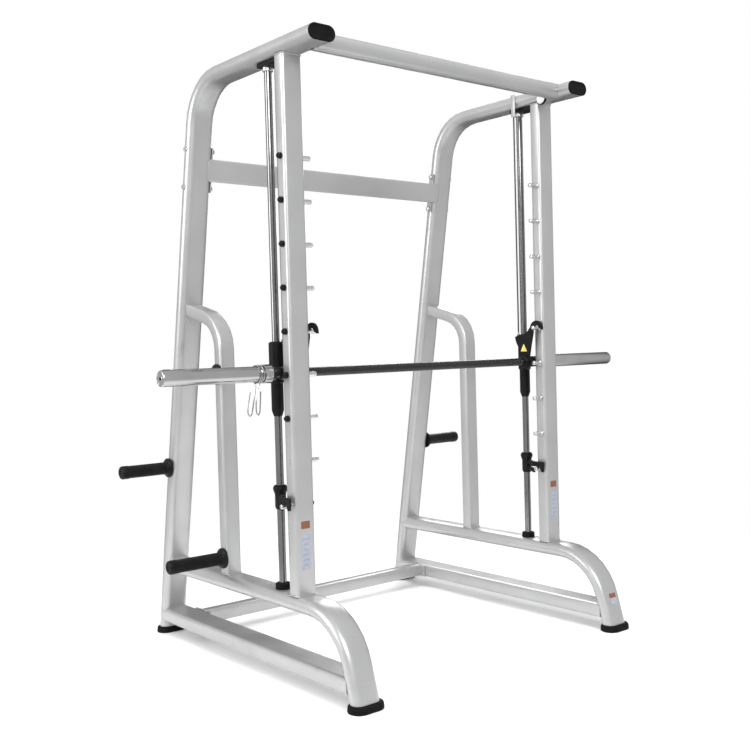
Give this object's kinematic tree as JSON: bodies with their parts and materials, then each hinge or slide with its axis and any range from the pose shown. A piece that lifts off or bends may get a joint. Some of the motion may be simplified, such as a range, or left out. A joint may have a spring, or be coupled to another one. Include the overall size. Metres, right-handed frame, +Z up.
{
  "type": "smith machine",
  "caption": "Smith machine: oval tube side frames, guide rods, a hooked barbell on sliding carriages with spinning sleeves, locating pegs, safety stops and plate storage pegs.",
  "frame": {"origin": "middle of the footprint, on the floor", "axes": "+X to the machine's right seen from its front, along the bar; +Y from the front to the back; +Z up"},
  "size_m": [2.106, 1.2684, 2.064],
  "materials": {
    "silver_paint": "satin metallic powder coat",
    "chrome": "polished hard chrome",
    "zinc_steel": "bright zinc",
    "black_paint": "semi-gloss powder coat",
    "black_plastic": "matt",
    "rubber": "matt",
    "cable_coat": "coated wire rope"
  },
  "bodies": {
    "frame": {"rear_frame_l": "silver_paint", "lower_beam_l": "silver_paint", "base_rail_l": "silver_paint", "upright_l": "silver_paint", "loop_post_l": "silver_paint", "rod_bracket_l": "black_paint", "beam_cap_l": "black_plastic", "rear_foot_l": "rubber", "front_foot_l": "rubber", "guide_rod_l": "chrome", "rod_bumper_l": "rubber", "peg_l1": "zinc_steel", "peg_l2": "zinc_steel", "peg_l3": "zinc_steel", "peg_l4": "zinc_steel", "peg_l5": "zinc_steel", "peg_l6": "zinc_steel", "peg_l7": "zinc_steel", "peg_l8": "zinc_steel", "peg_l9": "zinc_steel", "leg_storage_peg_l": "black_paint", "rear_frame_r": "silver_paint", "lower_beam_r": "silver_paint", "base_rail_r": "silver_paint", "upright_r": "silver_paint", "loop_post_r": "silver_paint", "rod_bracket_r": "black_paint", "beam_cap_r": "black_plastic", "rear_foot_r": "rubber", "front_foot_r": "rubber", "guide_rod_r": "chrome", "rod_bumper_r": "rubber", "peg_r1": "zinc_steel", "peg_r2": "zinc_steel", "peg_r3": "zinc_steel", "peg_r4": "zinc_steel", "peg_r5": "zinc_steel", "peg_r6": "zinc_steel", "peg_r7": "zinc_steel", "peg_r8": "zinc_steel", "peg_r9": "zinc_steel", "leg_storage_peg_r": "black_paint", "top_crossbar": "silver_paint", "upper_crossmember": "silver_paint", "floor_crossbar": "silver_paint", "post_storage_peg_low": "black_paint", "post_storage_peg_high": "black_paint"},
    "carriage": {"carriage_l": "black_paint", "cable_l": "cable_coat", "carriage_r": "black_paint", "cable_r": "cable_coat"},
    "bar": {"hook_l": "black_paint", "hook_r": "black_paint", "bar": "black_paint"},
    "sleeve_l": {"sleeve_l": "chrome"},
    "sleeve_r": {"sleeve_r": "chrome"},
    "clip": {"spring_clip": "chrome"},
    "stop_l": {"safety_stop_l": "black_paint"},
    "stop_r": {"safety_stop_r": "black_paint"}
  },
  "joints": [
    {"name": "carriage_slide", "type": "slide", "parent": "frame", "child": "carriage", "axis": [0, 0, 1], "range_m": [0, 0.8292], "deforming": ["cable_l", "cable_r"]},
    {"name": "bar_turn", "type": "hinge", "parent": "carriage", "child": "bar", "pos_m": [0, -0.23682, 1.0047], "axis": [-1, 0, 0], "range_deg": [0, 35]},
    {"name": "sleeve_l_spin", "type": "hinge", "parent": "bar", "child": "sleeve_l", "pos_m": [-0.86, -0.23682, 1.0047], "axis": [-1, 0, 0], "continuous": true},
    {"name": "sleeve_r_spin", "type": "hinge", "parent": "bar", "child": "sleeve_r", "pos_m": [0.86, -0.23682, 1.0047], "axis": [1, 0, 0], "continuous": true},
    {"name": "clip_slide", "type": "slide", "parent": "sleeve_l", "child": "clip", "axis": [-1, 0, 0], "range_m": [0, 0.32]},
    {"name": "stop_l_lift", "type": "slide", "parent": "frame", "child": "stop_l", "axis": [0, 0, 1], "range_m": [0, 0.09]},
    {"name": "stop_r_lift", "type": "slide", "parent": "frame", "child": "stop_r", "axis": [0, 0, 1], "range_m": [0, 0.09]}
  ]
}
